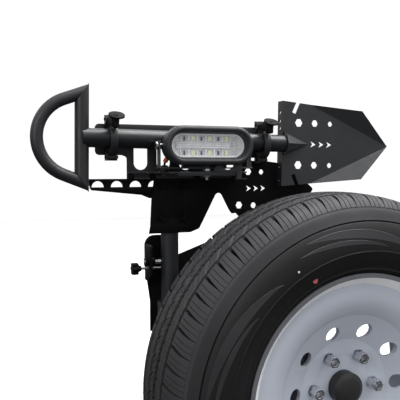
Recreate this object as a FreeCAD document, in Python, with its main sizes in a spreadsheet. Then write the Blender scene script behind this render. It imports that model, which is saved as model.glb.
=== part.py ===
"""Hitch-mounted spare tire carrier with a tool rack, a shovel and a work light.

Row frame: the origin is the centre of the hitch pin hole, +X runs along the shovel,
+Y points at the vehicle and +Z is up. Rack pieces are placed from the rack datum, which is
the point of the shovel's axis above the post. All sizes are in millimetres.
"""
import FreeCAD, Part

import math
import os

import Sketcher
from FreeCAD import Placement, Rotation, Vector

DRIVING_SIZES = {
    # carrier frame
    "shank_side": 50.8,
    "shank_wall": 6.0,
    "shank_reach": 100,
    "pin_hole_r": 8.2,
    "upright_side": 60,
    "upright_wall": 4,
    "upright_back": -130,
    "upright_low": -30,
    "upright_top": 672,
    "arm_side": 40,
    "arm_wall": 3,
    "arm_height": 443,
    "arm_plate_t": 5,
    # wheel
    "wheel_height": 330,
    "wheel_y": -357,
    "tyre_r": 400,
    "tyre_half_width": 129,
    "rim_r": 246,
    "rim_half_width": 112,
    "wheel_offset": 20,
    "lug_circle_r": 69.85,
    "lug_count": 6,
    "stud_r": 7,
    # rack datum and post
    "rack_x": -311,
    "rack_y": -250,
    "rack_z": 838,
    "post_r": 19.05,
    "post_wall": 2.5,
    "post_y": 47.05,
    "post_low": -420,
    "post_high": -82,
    "running_gap": 0.08,
    # rack sheet metal
    "sheet_t": 3,
    "back_plate_y": 22,
    "slot_w": 29,
    "slot_pitch": 49,
    "shelf_z": -66,
    "shelf_front": -55,
    "lip_drop": 8,
    # shovel
    "shaft_r": 19,
    "shaft_wall": 2,
    "grip_x": -194,
    "grip_r": 14,
    "bow_r": 12.3,
    "bow_arc_x": -201.7,
    "bow_arc_r": 77.8,
    "shovel_drop": -1,
    "shovel_lean": 0.75,
    "blade_x": 249,
    "blade_t": 2.5,
    "blade_half": 94,
    # clamps
    "left_clamp_x": -134,
    "right_clamp_x": 200,
    "left_clamp_z": 0.75,
    "right_clamp_z": -3.6,
    "strap_inner_r": 31.5,
    "strap_t": 2.5,
    "strap_w": 15,
    # light
    "light_x": 50,
    "light_z": -13.5,
    "light_w": 188,
    "light_tall": 78,
    "lens_w": 158,
    "lens_tall": 48,
    "bolt_r": 4,
}

doc = FreeCAD.newDocument("SpareTireCarrier")
dims = doc.addObject("Spreadsheet::Sheet", "Dims")
for row, (alias, value) in enumerate(DRIVING_SIZES.items(), start=1):
    dims.set(f"A{row}", alias)
    dims.set(f"B{row}", str(value))
    dims.setAlias(f"B{row}", alias)
doc.recompute()

ALONG_X = Rotation(Vector(0, 1, 0), 90)
ALONG_Y = Rotation(Vector(1, 0, 0), -90)
ALONG_Z = Rotation()
SHOVEL_LEAN = Rotation(Vector(0, 1, 0), DRIVING_SIZES["shovel_lean"])
sub_parts = []


# ---------------------------------------------------------------- helpers

def size(alias):
    """A driving size, read from the sheet."""
    return float(dims.get(alias))


def expression(value):
    return value if isinstance(value, str) else repr(float(value))


def rack(x, y, z):
    """A position measured from the rack datum."""
    offsets = zip(("rack_x", "rack_y", "rack_z"), (x, y, z))
    return tuple(f"Dims.{alias} + ({expression(value)})" for alias, value in offsets)


def local(x, y, z):
    """A position left as it is, for pieces that are built about their own origin."""
    return (x, y, z)


def lean(item):
    """Lay a shovel piece, built about its own axis, into the clamps."""
    return place(item, rack(0, 0, "Dims.shovel_drop"), SHOVEL_LEAN)


def place(item, position, rotation=ALONG_Z):
    item.Placement = Placement(Vector(), rotation)
    for axis, value in zip("xyz", position):
        item.setExpression(f"Placement.Base.{axis}", expression(value))
    return item


def bind(item, **sizes):
    for name, value in sizes.items():
        item.setExpression(name, expression(value))
    return item


def box(name, lengths, corner, rotation=ALONG_Z):
    item = doc.addObject("Part::Box", name)
    bind(item, Length=lengths[0], Width=lengths[1], Height=lengths[2])
    return place(item, corner, rotation)


def cylinder(name, radius, height, start, rotation=ALONG_Z, angle=360):
    item = doc.addObject("Part::Cylinder", name)
    item.Angle = angle
    bind(item, Radius=radius, Height=height)
    return place(item, start, rotation)


def cone(name, low_radius, high_radius, height, start, rotation=ALONG_Z):
    item = doc.addObject("Part::Cone", name)
    bind(item, Radius1=low_radius, Radius2=high_radius, Height=height)
    return place(item, start, rotation)


def prism(name, sides, circumradius, height, start, rotation=ALONG_Z):
    item = doc.addObject("Part::Prism", name)
    item.Polygon = sides
    bind(item, Circumradius=circumradius, Height=height)
    return place(item, start, rotation)


def fuse(name, pieces):
    item = doc.addObject("Part::MultiFuse", name)
    item.Shapes = pieces
    return item


def cut(name, base, tools):
    item = doc.addObject("Part::Cut", name)
    item.Base = base
    item.Tool = tools[0] if len(tools) == 1 else gather(f"{name}_tools", tools)
    return item


def gather(name, pieces):
    """Separate solids kept side by side in one object."""
    item = doc.addObject("Part::Compound", name)
    item.Links = pieces
    return item


def tube(name, radius, wall, height, start, rotation=ALONG_Z):
    outer = cylinder(f"{name}_outer", radius, height, start, rotation)
    inner = cylinder(f"{name}_inner", f"{expression(radius)} - {expression(wall)}",
                     height, start, rotation)
    return cut(name, outer, [inner])


def sheet_body(name, plane, corners, thickness, position, rounds=()):
    """A flat plate: a sketched outline in an origin plane, padded to its thickness.

    The outline's two coordinates are X and Z for plane XZ, Y and Z for YZ, X and Y for XY,
    and the plate grows in the third axis' positive direction. rounds lists (radius, corner
    numbers) for the corners that are rounded.
    """
    body = doc.addObject("PartDesign::Body", name)
    sketch = body.newObject("Sketcher::SketchObject", f"{name}_outline")
    origin_plane = next(item for item in body.Origin.OriginFeatures if item.Role == f"{plane}_Plane")
    sketch.AttachmentSupport = (origin_plane, [""])
    sketch.MapMode = "FlatFace"
    count = len(corners)
    for number, start in enumerate(corners):
        end = corners[(number + 1) % count]
        sketch.addGeometry(Part.LineSegment(Vector(*start, 0), Vector(*end, 0)))
    for number in range(count):
        sketch.addConstraint(Sketcher.Constraint("Coincident", number, 2, (number + 1) % count, 1))
    for number, corner in enumerate(corners):
        for kind, value in zip(("DistanceX", "DistanceY"), corner):
            sketch.addConstraint(Sketcher.Constraint(kind, -1, 1, number, 1, value))
    pad = body.newObject("PartDesign::Pad", f"{name}_pad")
    pad.Profile = sketch
    pad.Reversed = plane == "XZ"
    bind(pad, Length=thickness)
    if rounds:
        doc.recompute()
        for step, (radius, numbers) in enumerate(rounds):
            base = body.Tip
            fillet = body.newObject("PartDesign::Fillet", f"{name}_rounds_{step}")
            fillet.Base = (base, corner_edges(base.Shape, plane, [corners[n] for n in numbers]))
            fillet.Radius = radius
            doc.recompute()
    return place(body, position)


def corner_edges(shape, plane, corners):
    """Names of the edges that run through the plate at the given outline corners."""
    first, second = ("XYZ".index(letter) for letter in plane)
    names = []
    for number, edge in enumerate(shape.Edges, start=1):
        ends = [vertex.Point for vertex in edge.Vertexes]
        for corner in corners:
            if len(ends) == 2 and all(math.hypot(p[first] - corner[0], p[second] - corner[1]) < 0.01
                                      for p in ends):
                names.append(f"Edge{number}")
    return names


def solid_feature(name, shape, position):
    item = doc.addObject("Part::Feature", name)
    item.Shape = shape
    return place(item, position)


def publish(label, item):
    item.Label = label
    if item.Label != label:
        raise RuntimeError(f"the name {label} is taken twice")
    sub_parts.append(item)


# ---------------------------------------------------------------- carrier frame

def hitch_shank():
    side, half = "Dims.shank_side", "-Dims.shank_side / 2"
    length = "Dims.shank_reach - Dims.upright_back"
    outer = box("shank_outer", (side, length, side), (half, "Dims.upright_back", half))
    bore_side = "Dims.shank_side - 2 * Dims.shank_wall"
    bore_start = "-Dims.shank_side / 2 + Dims.shank_wall"
    bore = box("shank_bore", (bore_side, length, bore_side),
               (bore_start, "Dims.upright_back", bore_start))
    pin_hole = cylinder("shank_pin_hole", "Dims.pin_hole_r", 80, (-40, 0, 0), ALONG_X)
    publish("hitch_shank", cut("shank", outer, [bore, pin_hole]))


def upright():
    side = "Dims.upright_side"
    tall = "Dims.upright_top - Dims.upright_low"
    front = "Dims.upright_back - Dims.upright_side"
    outer = box("upright_outer", (side, side, tall), ("-Dims.upright_side / 2", front, "Dims.upright_low"))
    bore_side = "Dims.upright_side - 2 * Dims.upright_wall"
    bore = box("upright_bore", (bore_side, bore_side, tall),
               ("-Dims.upright_side / 2 + Dims.upright_wall", f"{front} + Dims.upright_wall",
                "Dims.upright_low"))
    publish("upright", cut("upright_tube", outer, [bore]))
    cap_t = 4
    plug = box("cap_plug", (f"{bore_side} - 0.4", f"{bore_side} - 0.4", 14),
               ("-Dims.upright_side / 2 + Dims.upright_wall + 0.2",
                f"{front} + Dims.upright_wall + 0.2", "Dims.upright_top - 14"))
    head = box("cap_head", (side, side, cap_t),
               ("-Dims.upright_side / 2", front, "Dims.upright_top"))
    publish("upright_cap", fuse("cap", [head, plug]))


def shank_gussets():
    """Triangular side plates that brace the upright on the shank."""
    gusset_t = 5
    corners = [(0, 0), (95, 0), (95, 8), (12, 95), (0, 95)]
    pieces = [sheet_body(f"shank_gusset_{number}", "YZ", corners, gusset_t,
                         (x, "Dims.upright_back", "Dims.shank_side / 2"))
              for number, x in enumerate((-25.4, 20.4))]
    publish("shank_gussets", gather("shank_gusset_pair", pieces))


def cross_arm():
    side = "Dims.arm_side"
    reach = "-Dims.upright_side / 2 - (Dims.rack_x + 25)"
    corner = ("Dims.rack_x + 25", "Dims.rack_y + 79", "Dims.arm_height - Dims.arm_side / 2")
    outer = box("cross_arm_outer", (reach, side, side), corner)
    bore_side = "Dims.arm_side - 2 * Dims.arm_wall"
    inner = box("cross_arm_bore", (reach, bore_side, bore_side),
                (corner[0], f"{corner[1]} + Dims.arm_wall", f"{corner[2]} + Dims.arm_wall"))
    publish("cross_arm", cut("cross_arm_tube", outer, [inner]))


def arm_plate():
    """Plate that carries the post: a tab behind the post, a wing to the upright and a side flange."""
    corners = [(-48, -204), (16, -204), (16, -254), (281, -160), (281, -415), (-36, -415),
               (-36, -350), (-48, -265)]
    web = sheet_body("arm_plate_web", "XZ", corners, "Dims.arm_plate_t", rack(0, 74, 0),
                     rounds=[(22, [0]), (10, [2])])
    flange = sheet_body("arm_plate_flange", "YZ", [(30, -222), (75, -222), (75, -300), (48, -300), (30, -286)],
                        "Dims.arm_plate_t", rack(-48, 0, 0), rounds=[(8, [0, 4])])
    screw_hole = cylinder("set_screw_hole", 5.3, 20, rack(-60, "Dims.post_y", -258), ALONG_X)
    stud_hole = cylinder("knob_stud_hole", 3.06, 20, rack(-60, "Dims.post_y", -271), ALONG_X)
    publish("arm_plate", cut("arm_plate_bent", fuse("arm_plate_blank", [web, flange]),
                             [screw_hole, stud_hole]))


def post_sleeve():
    start = rack(0, "Dims.post_y", -405)
    outer = cylinder("sleeve_outer", 26.9, 60, start)
    bore = cylinder("sleeve_bore", "Dims.post_r + Dims.running_gap", 60, start)
    publish("post_sleeve", cut("sleeve", outer, [bore]))


def hexagon_nut(name, flats, bore_r, height, start, rotation):
    blank = prism(f"{name}_hexagon", 6, f"{flats} / 2 / cos(30)", height, start, rotation)
    hole = cylinder(f"{name}_hole", bore_r, height, start, rotation)
    return cut(name, blank, [hole])


def set_screw():
    """Screw through the flange that presses on the post, with a nut each side of the flange."""
    shank = cylinder("screw_shank", 5, 37.6, rack(-57, "Dims.post_y", -258), ALONG_X)
    publish("post_set_screw", shank)
    nuts = [hexagon_nut(f"screw_nut_{number}", 17, 5.05, 8, rack(x, "Dims.post_y", -258), ALONG_X)
            for number, x in enumerate((-56.2, -42.8))]
    publish("set_screw_nuts", gather("set_screw_nut_pair", nuts))


def star_knob():
    """Six-lobed hand knob on a threaded stud through the flange."""
    axis_z, lobes = -271, 6
    core = cylinder("knob_core", 9.5, 13, rack(-84, "Dims.post_y", axis_z), ALONG_X)
    hub = cone("knob_hub", 8, 5.5, 7, rack(-71, "Dims.post_y", axis_z), ALONG_X)
    lobe_parts = []
    for lobe in range(lobes):
        turn = 2 * math.pi * lobe / lobes
        start = rack(-84, f"Dims.post_y + {9.5 * math.cos(turn)}", axis_z + 9.5 * math.sin(turn))
        lobe_parts.append(cylinder(f"knob_lobe_{lobe}", 4, 13, start, ALONG_X))
    head = fuse("knob_head", [core, hub] + lobe_parts)
    bore = cylinder("knob_bore", 3, 14, rack(-78, "Dims.post_y", axis_z), ALONG_X)
    publish("star_knob", cut("knob", head, [bore]))
    publish("knob_stud", cylinder("knob_stud_rod", 3, 58.4, rack(-78, "Dims.post_y", axis_z), ALONG_X))


# ---------------------------------------------------------------- wheel

def wheel_mount():
    pad_y = "Dims.wheel_y - Dims.wheel_offset"
    flange_t = 10
    plate = cylinder("stud_flange_disc", 88, flange_t, (0, pad_y, "Dims.wheel_height"), ALONG_Y)
    tools = [cylinder(f"stud_hole_{number}", "Dims.stud_r", flange_t,
                      (x, pad_y, f"Dims.wheel_height + {z}"), ALONG_Y)
             for number, (x, z) in enumerate(lug_positions())]
    publish("stud_flange", cut("stud_flange_drilled", plate, tools))
    publish("wheel_standoff", tube("standoff", 44.5, 6,
                                   f"Dims.upright_back - Dims.upright_side - ({pad_y} + {flange_t})",
                                   (0, f"{pad_y} + {flange_t}", "Dims.wheel_height"), ALONG_Y))
    studs = [cylinder(f"wheel_stud_{number}", "Dims.stud_r", 42,
                      (x, f"{pad_y} - 32", f"Dims.wheel_height + {z}"), ALONG_Y)
             for number, (x, z) in enumerate(lug_positions())]
    publish("wheel_studs", gather("wheel_stud_set", studs))


def lug_positions():
    count = int(size("lug_count"))
    reach = size("lug_circle_r")
    turns = [2 * math.pi * (number + 0.5) / count for number in range(count)]
    return [(reach * math.sin(turn), reach * math.cos(turn)) for turn in turns]


def revolved(name, outline):
    """A ring about the wheel's axle, from an outline of straight and three-point arc runs.

    Each outline entry is (radius, y), or (radius, y, mid_radius, mid_y) where an arc through
    the middle point leads to it. y is measured from the wheel's centre plane.
    """
    edges = []
    last = Vector(outline[-1][0], outline[-1][1], 0)
    for entry in outline:
        point = Vector(entry[0], entry[1], 0)
        if len(entry) == 4:
            edges.append(Part.Arc(last, Vector(entry[2], entry[3], 0), point).toShape())
        else:
            edges.append(Part.LineSegment(last, point).toShape())
        last = point
    face = Part.Face(Part.Wire(edges))
    ring = face.revolve(Vector(), Vector(0, 1, 0), 360)
    return solid_feature(name, ring, (0, "Dims.wheel_y", "Dims.wheel_height"))


def tyre():
    crown, wide, seat = size("tyre_r"), size("tyre_half_width"), size("rim_r") - 17
    side = [(352, -wide + 11, 302, -wide), (372, -wide + 23), (crown - 7, -wide + 44),
            (crown - 7, wide - 44, crown, 0), (372, wide - 23), (352, wide - 11),
            (247, wide - 20, 302, wide)]
    bead = [(247, wide - 33), (seat, wide - 33), (seat, wide - 48)]
    inner = [(262, wide - 34), (352, wide - 34, 310, wide - 17), (crown - 22, wide - 52),
             (crown - 22, -wide + 52), (352, -wide + 34), (262, -wide + 34, 310, -wide + 17),
             (seat, -wide + 48), (seat, -wide + 33), (247, -wide + 33), (247, -wide + 20)]
    publish("tyre", revolved("tyre_ring", side + bead + inner))


def rim():
    """Wheel with a flanged barrel, a smooth dish, hand holes and a drilled hub seat."""
    top, wide = size("rim_r"), size("rim_half_width")
    bead = top - 17.3
    outline = [(top, -wide), (top, -wide + 7), (bead, -wide + 15.5), (bead, -wide + 42),
               (208, -wide + 56), (208, wide - 60), (bead, wide - 44), (bead, wide - 15.5),
               (top, wide - 7), (top, wide), (top - 9, wide), (bead - 8, wide - 20),
               (199, wide - 55), (199, -70), (160, -64, 182, -75), (104, -38), (34, -20),
               (34, -32), (100, -46), (157, -76, 130, -62), (222, -wide + 18, 190, -wide + 17),
               (top - 9, -wide)]
    blank = revolved("rim_blank", outline)
    seat_y = "Dims.wheel_y - Dims.wheel_offset"
    tools = [cylinder(f"lug_hole_{number}", "Dims.stud_r + 1", 60,
                      (x, f"{seat_y} - 40", f"Dims.wheel_height + {z}"), ALONG_Y)
             for number, (x, z) in enumerate(lug_positions())]
    tools += [cylinder(f"lug_spot_face_{number}", 13.5, 20,
                       (x, f"{seat_y} - 38", f"Dims.wheel_height + {z}"), ALONG_Y)
              for number, (x, z) in enumerate(lug_positions())]
    hand_holes = 10
    for number in range(hand_holes):
        turn = 2 * math.pi * (number + 0.5) / hand_holes
        tools.append(cylinder(f"hand_hole_{number}", 16, 90,
                              (122 * math.sin(turn), "Dims.wheel_y - 110",
                               f"Dims.wheel_height + {122 * math.cos(turn)}"), ALONG_Y))
    seat = cylinder("rim_hub_seat", 94, 18, (0, f"{seat_y} - 18", "Dims.wheel_height"), ALONG_Y)
    pilot = cylinder("rim_pilot_hole", 34, 60, (0, f"{seat_y} - 40", "Dims.wheel_height"), ALONG_Y)
    below_seat = cylinder("rim_seat_relief", 94, 20, (0, seat_y, "Dims.wheel_height"), ALONG_Y)
    publish("rim", cut("rim_drilled", fuse("rim_with_seat", [blank, seat]),
                       tools + [pilot, below_seat]))


def wheel_hardware():
    nut_y = "Dims.wheel_y - Dims.wheel_offset - 18 - 26"
    nuts = []
    for number, (x, z) in enumerate(lug_positions()):
        start = (x, nut_y, f"Dims.wheel_height + {z}")
        nuts.append(hexagon_nut(f"lug_nut_{number}", 21, 7.05, 26, start, ALONG_Y))
    publish("lug_nuts", gather("lug_nut_set", nuts))
    cap_y = "Dims.wheel_y - Dims.wheel_offset - 40"
    shell = cylinder("centre_cap_shell", 33.7, 38, (0, cap_y, "Dims.wheel_height"), ALONG_Y)
    dome = cone("centre_cap_dome", 24, 33.7, 6, (0, f"{cap_y} - 6", "Dims.wheel_height"), ALONG_Y)
    hollow = cylinder("centre_cap_hollow", 31, 38, (0, f"{cap_y} + 3", "Dims.wheel_height"), ALONG_Y)
    publish("centre_cap", cut("centre_cap_cup", fuse("centre_cap_blank", [shell, dome]), [hollow]))


def valve():
    """Snap-in valve stem low on the wheel's dish, with its cap."""
    hole_z = "Dims.wheel_height - 206"
    start_y = "Dims.wheel_y - Dims.rim_half_width + 15.2"
    publish("valve_stem", cone("valve_body", 4.2, 6.5, 24, (0, f"{start_y} - 25.5", hole_z), ALONG_Y))
    publish("valve_cap", cylinder("valve_cap_body", 4.4, 9, (0, f"{start_y} - 34.6", hole_z), ALONG_Y))


# ---------------------------------------------------------------- post and rack

def post():
    tall = "Dims.post_high - Dims.post_low"
    publish("post", tube("post_tube", "Dims.post_r", "Dims.post_wall", tall,
                         rack(0, "Dims.post_y", "Dims.post_low")))
    foot = cylinder("foot_head", "Dims.post_r", 4, rack(0, "Dims.post_y", "Dims.post_low - 4"))
    plug = cylinder("foot_spigot", "Dims.post_r - Dims.post_wall - 0.1", 14,
                    rack(0, "Dims.post_y", "Dims.post_low"))
    publish("post_foot_plug", fuse("foot", [foot, plug]))


def hexagon_tools(prefix, places, y, at=rack):
    return [prism(f"{prefix}_hexagon_{number}", 6, radius, 20, at(x, y - 10, z), ALONG_Y)
            for number, (x, z, radius) in enumerate(places)]


def arrow_tools(prefix, places, width, half_tall, y, at=rack):
    """Notched arrowheads that point along +X."""
    tools = []
    for number, (x, z) in enumerate(places):
        corners = [(x - width / 2, z + half_tall), (x - width / 6, z), (x - width / 2, z - half_tall),
                   (x + width / 2, z)]
        tools.append(sheet_body(f"{prefix}_arrow_{number}", "XZ", corners, 20, at(0, y - 10, 0)))
    return tools


def lower_plate():
    """Panel below the shelf: a leg in front of the post and a wing with cut-outs to the right."""
    corners = [(-41, -69), (-41, -84), (-46, -123), (-49, -180), (-52, -195.5), (40, -195.5),
               (60, -188), (105, -102), (131, -151), (137, -158), (146, -157), (162, -173),
               (200, -173), (324, -127), (342, -107), (331, -97), (261, -48), (220, -43),
               (150, -41), (150, -69)]
    plate = sheet_body("lower_plate_sheet", "XZ", corners, "Dims.sheet_t", rack(0, 25, 0),
                       rounds=[(9, [7]), (8, [6]), (5, [14])])
    hexagons = [(176, -66, 8.4), (208, -67, 6), (154, -140, 8.4), (189, -141, 7), (222, -142, 5.5)]
    arrows = [(177, -103.5), (194.5, -103.5), (212, -103.5)]
    leg_holes = [cylinder(f"leg_bolt_hole_{x}_{z}", 4.2, 20, rack(x, 15, z), ALONG_Y)
                 for x in (-24, 24) for z in (-95, -165)]
    tools = (hexagon_tools("lower", hexagons, 25) + arrow_tools("lower", arrows, 13, 7.5, 25)
             + leg_holes)
    publish("lower_plate", cut("lower_plate_cut", plate, tools))


def back_plate():
    """Slotted plate behind the shovel, with a tab under each clamp."""
    corners = [(-164, 31), (223, 31), (223, -36), (159, -36), (159, -80), (-99, -80), (-99, -36),
               (-109, -32), (-164, -32)]
    plate = sheet_body("back_plate_sheet", "XZ", corners, "Dims.sheet_t",
                       rack(0, "Dims.back_plate_y", 0), rounds=[(9, [0, 1, 8, 2]), (6, [6])])
    tools = []
    for number in range(5):
        x = f"(-70 + {number} * Dims.slot_pitch)"
        low, high = -47.5, 5
        y = "Dims.back_plate_y - 5"
        tools += [box(f"slot_{number}", ("Dims.slot_w", 20, high - low), rack(f"{x} - Dims.slot_w / 2", y, low)),
                  cylinder(f"slot_low_{number}", "Dims.slot_w / 2", 20, rack(x, y, low), ALONG_Y),
                  cylinder(f"slot_high_{number}", "Dims.slot_w / 2", 20, rack(x, y, high), ALONG_Y)]
    publish("back_plate", cut("back_plate_slotted", plate, [fuse("slots", tools)]))


def shelf():
    """Shelf that sticks out below the light, with a turned-down lip and a flange to the plate."""
    outline = [(-99, 22), (-99, 10), (-58, 10), (-30, "front"), (134, "front"), (152, 10), (166, 10),
               (166, 22)]
    front = size("shelf_front")
    corners = [(x, front if y == "front" else y) for x, y in outline]
    deck = sheet_body("shelf_deck", "XY", corners, "Dims.sheet_t",
                      rack(0, 0, "Dims.shelf_z - Dims.sheet_t"), rounds=[(14, [2, 3, 4, 5])])
    lip = box("shelf_lip", (134, "Dims.sheet_t", "Dims.lip_drop"),
              rack(-15, "Dims.shelf_front", "Dims.shelf_z - Dims.lip_drop"))
    flange = box("shelf_flange", (240, "Dims.sheet_t", 14), rack(-92, 19, -80))
    blank = fuse("shelf_blank", [deck, lip, flange])
    bolt_hole = cylinder("shelf_bolt_hole", 4.3, 20, rack("Dims.light_x", -45, -75))
    gland_hole = cylinder("shelf_gland_hole", 7.2, 20, rack(-25, 2, -75))
    publish("shelf", cut("shelf_drilled", blank, [bolt_hole, gland_hole]))


def side_arm():
    """Perforated arm behind the panel, with D-shaped lashing holes and a rail along its lower edge."""
    corners = [(-181, -80.2), (-29, -80.2), (-29, -121), (-50, -121), (-67, -114), (-134, -107), (-171, -103)]
    plate = sheet_body("side_arm_sheet", "XZ", corners, "Dims.sheet_t", rack(0, 28, 0), rounds=[(4, [0])])
    half_round = Rotation(Vector(1, 0, 0), -90).multiply(Rotation(Vector(0, 0, 1), 180))
    holes = [cylinder(f"lashing_hole_{number}", 12.3, 20, rack(-158 + 39.2 * number, 12, -97), half_round, 180)
             for number in range(4)]
    rail = [(-178, -98), (-46, -98), (-46, -107), (-67, -109), (-134, -105), (-168, -102)]
    rail_bar = sheet_body("side_arm_rail", "XZ", rail, 9, rack(0, 19, 0))
    publish("side_arm", fuse("side_arm_with_rail", [cut("side_arm_pierced", plate, holes), rail_bar]))


def rack_fasteners():
    """Button-head bolts through the rack's sheets, and the U-bolts that hold the post."""
    bolts = []
    for number, x in enumerate((-92, -46, 52, 140)):
        head = cylinder(f"rack_bolt_head_{number}", 6.5, 3.5, rack(x, 15.5, -75.8), ALONG_Y)
        bolts.append(head)
    publish("rack_bolts", gather("rack_bolt_set", bolts))
    loops, nuts = [], []
    reach, wire_r = 24, 4
    for number, z in enumerate((-95, -165)):
        back = size("post_y")
        start, middle, end = Vector(-reach, back, z), Vector(0, back + reach, z), Vector(reach, back, z)
        front = 14
        path = Part.Wire([Part.LineSegment(Vector(-reach, front, z), start).toShape(),
                          Part.Arc(start, middle, end).toShape(),
                          Part.LineSegment(end, Vector(reach, front, z)).toShape()])
        section = Part.Face(Part.Wire(Part.makeCircle(wire_r, Vector(-reach, front, z), Vector(0, 1, 0))))
        loops.append(solid_feature(f"u_bolt_{number}", path.makePipe(section), rack(0, 0, 0)))
        for side in (-reach, reach):
            nuts.append(hexagon_nut(f"u_bolt_nut_{number}_{side + reach}", 13, 4.05, 7,
                                    rack(side, 18, z), ALONG_Y))
    publish("post_u_bolts", gather("u_bolt_pair", loops))
    publish("u_bolt_nuts", gather("u_bolt_nut_set", nuts))


# ---------------------------------------------------------------- clamps

def band(name, inner, thickness, start_angle, end_angle, start, width):
    """Part of a ring about X. Angles run from +Y towards +Z."""
    turn = ALONG_X.multiply(Rotation(Vector(0, 0, 1), 90 + start_angle))
    outer = cylinder(f"{name}_outer", f"{expression(inner)} + {expression(thickness)}", width, start,
                     turn, end_angle - start_angle)
    bore = cylinder(f"{name}_bore", inner, width, start, ALONG_X)
    return cut(name, outer, [bore])


def clamp(side):
    """Quick-release clamp: a bracket and rubber cradle behind, a hinged strap and a lever in front."""
    def at(x, y, z):
        return rack(f"Dims.{side}_clamp_x + ({expression(x)})", y,
                    f"Dims.{side}_clamp_z + ({expression(z)})")

    def ear(name, corners, x):
        return sheet_body(f"{side}_{name}", "YZ", corners, 3, at(x, 0, 0))

    web = box(f"{side}_web", (22, 3, 92), at(-11, 19, -44))
    top_ear = [(8, 33), (10, 46), (19, 48), (20, 20), (14, 24)]
    low_ear = [(2, -44), (20, -44), (20, -22), (2, -31)]
    ears = [ear(f"{name}_ear_{number}", corners, x)
            for name, corners in (("top", top_ear), ("low", low_ear))
            for number, x in enumerate((-11, 8))]
    pin_bore = cylinder(f"{side}_hinge_hole", 3, 40, at(-20, 8, -37), ALONG_X)
    bar_bore = cylinder(f"{side}_bar_hole", 3, 40, at(-20, 14, 39), ALONG_X)
    publish(f"{side}_clamp_bracket", cut(f"{side}_bracket", fuse(f"{side}_bracket_blank", [web] + ears),
                                         [pin_bore, bar_bore]))

    block = box(f"{side}_cradle_block", (15, 12, 40), at(-7.5, 7, -20))
    seat = cylinder(f"{side}_cradle_seat", "Dims.shaft_r + 0.2", 30, at(-15, 0, 0), ALONG_X)
    publish(f"{side}_clamp_cradle", cut(f"{side}_cradle", block, [seat]))

    hinge_pin = cylinder(f"{side}_hinge_rod", 3, 27, at(-13.5, 8, -37), ALONG_X)
    catch_bar = cylinder(f"{side}_catch_rod", 3, 26, at(-13, 14, 39), ALONG_X)

    ring_y, ring_z = 9, -1
    wide = band(f"{side}_band_wide", "Dims.strap_inner_r", "Dims.strap_t", 133, 261,
                at("-Dims.strap_w / 2", ring_y, ring_z), "Dims.strap_w")
    tongue = band(f"{side}_band_tongue", "Dims.strap_inner_r", "Dims.strap_t", 119, 134,
                  at(-4, ring_y, ring_z), 8)
    knuckle = cylinder(f"{side}_top_knuckle", 4.8, 8, at(-4, -8.6, 31), ALONG_X)
    neck = box(f"{side}_knuckle_neck", (8, 6, 5), at(-4, -11, 25.5))
    root = cylinder(f"{side}_hinge_knuckle", 5.6, "Dims.strap_w", at("-Dims.strap_w / 2", 8, -37), ALONG_X)
    solid = fuse(f"{side}_strap_blank", [wide, tongue, knuckle, neck, root])
    holes = [cylinder(f"{side}_strap_hinge_hole", 3.05, 40, at(-20, 8, -37), ALONG_X),
             cylinder(f"{side}_strap_lever_hole", 2.5, 40, at(-20, -8.6, 31), ALONG_X)]
    publish(f"{side}_clamp_strap", cut(f"{side}_strap", solid, holes))

    pad = band(f"{side}_liner_band", "Dims.shaft_r + 0.3", 12, 150, 212, at(-6.5, 0, 0), 13)
    outside = band(f"{side}_liner_outside", "Dims.strap_inner_r - 0.02", 20, 100, 260,
                   at(-15, ring_y, ring_z), 30)
    publish(f"{side}_strap_liner", cut(f"{side}_liner", pad, [outside]))

    publish(f"{side}_lever_pin", cylinder(f"{side}_lever_rod", 2.5, 16.4, at(-8.2, -8.6, 31), ALONG_X))
    cheek = [(-14, 26.5), (-8.6, 25.6), (-4, 27.5), (10.6, 34.8), (10.6, 38.3), (6, 40.5), (-6, 40),
             (-26, 41), (-34, 22), (-28, 20)]
    cheeks = [sheet_body(f"{side}_lever_cheek_{number}", "YZ", cheek, 3, at(x, 0, 0))
              for number, x in enumerate((-7.4, 4.4))]
    tooth = box(f"{side}_lever_tooth", (14.8, 5.6, 3), at(-7.4, 5, 35.3))
    paddle_tilt = Rotation(Vector(1, 0, 0), 28)
    stem_tilt = Rotation(Vector(1, 0, 0), -8)
    stem = cone(f"{side}_lever_stem", 5.5, 9, 23, at(0, -34, 19), stem_tilt)
    paddle = cylinder(f"{side}_lever_disc", 16, 3.2, at(2, -33, 41.5), paddle_tilt)
    lever_holes = [cylinder(f"{side}_lever_hole", 2.55, 40, at(-20, -8.6, 31), ALONG_X)]
    publish(f"{side}_clamp_lever", cut(f"{side}_lever", fuse(f"{side}_lever_blank",
                                       cheeks + [tooth, stem, paddle]), lever_holes))
    return hinge_pin, catch_bar


def clamps():
    hinge_pins, catch_bars = zip(clamp("left"), clamp("right"))
    publish("clamp_hinge_pins", gather("hinge_pin_pair", list(hinge_pins)))
    publish("clamp_catch_bars", gather("catch_bar_pair", list(catch_bars)))


# ---------------------------------------------------------------- shovel

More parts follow.
